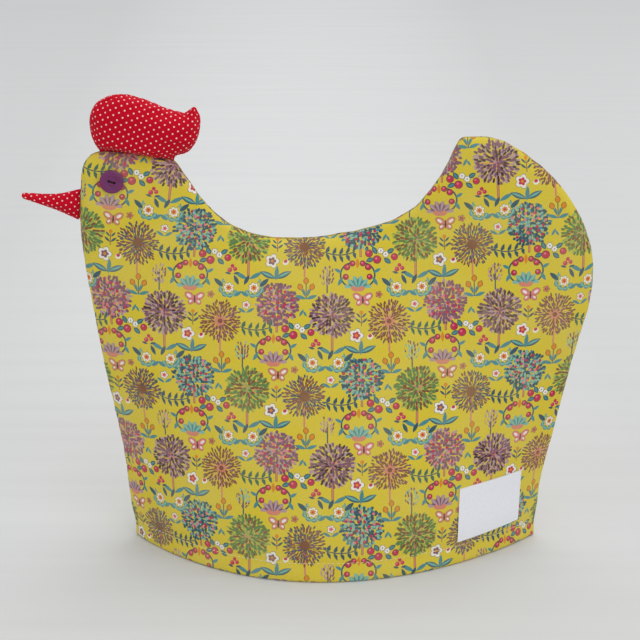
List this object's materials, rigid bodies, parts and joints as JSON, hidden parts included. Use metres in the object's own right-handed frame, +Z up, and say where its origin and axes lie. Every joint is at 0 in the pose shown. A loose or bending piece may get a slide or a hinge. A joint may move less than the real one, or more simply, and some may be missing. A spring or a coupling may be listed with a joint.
{
  "type": "tea cosy",
  "caption": "Hen-shaped padded cloth tea cosy, open at the hem, with a stuffed comb and beak, button eyes and a plain patch",
  "frame": {"origin": "on the floor that the hem stands on, under the middle of the cosy's length and depth", "axes": "+X from beak to tail, +Y from the front panel to the back panel, +Z up"},
  "size_m": [0.351, 0.1364, 0.2911],
  "materials": {
    "printed_cotton": "matt printed cotton over wadding",
    "spotted_cotton": "matt spotted cotton",
    "button_plastic": "satin",
    "woven_patch": "plain weave"
  },
  "bodies": {
    "root": {"front_panel": "printed_cotton", "back_panel": "printed_cotton", "comb": "spotted_cotton", "beak": "spotted_cotton", "eye_button_front": "button_plastic", "eye_button_back": "button_plastic", "label_patch": "woven_patch"}
  },
  "joints": []
}
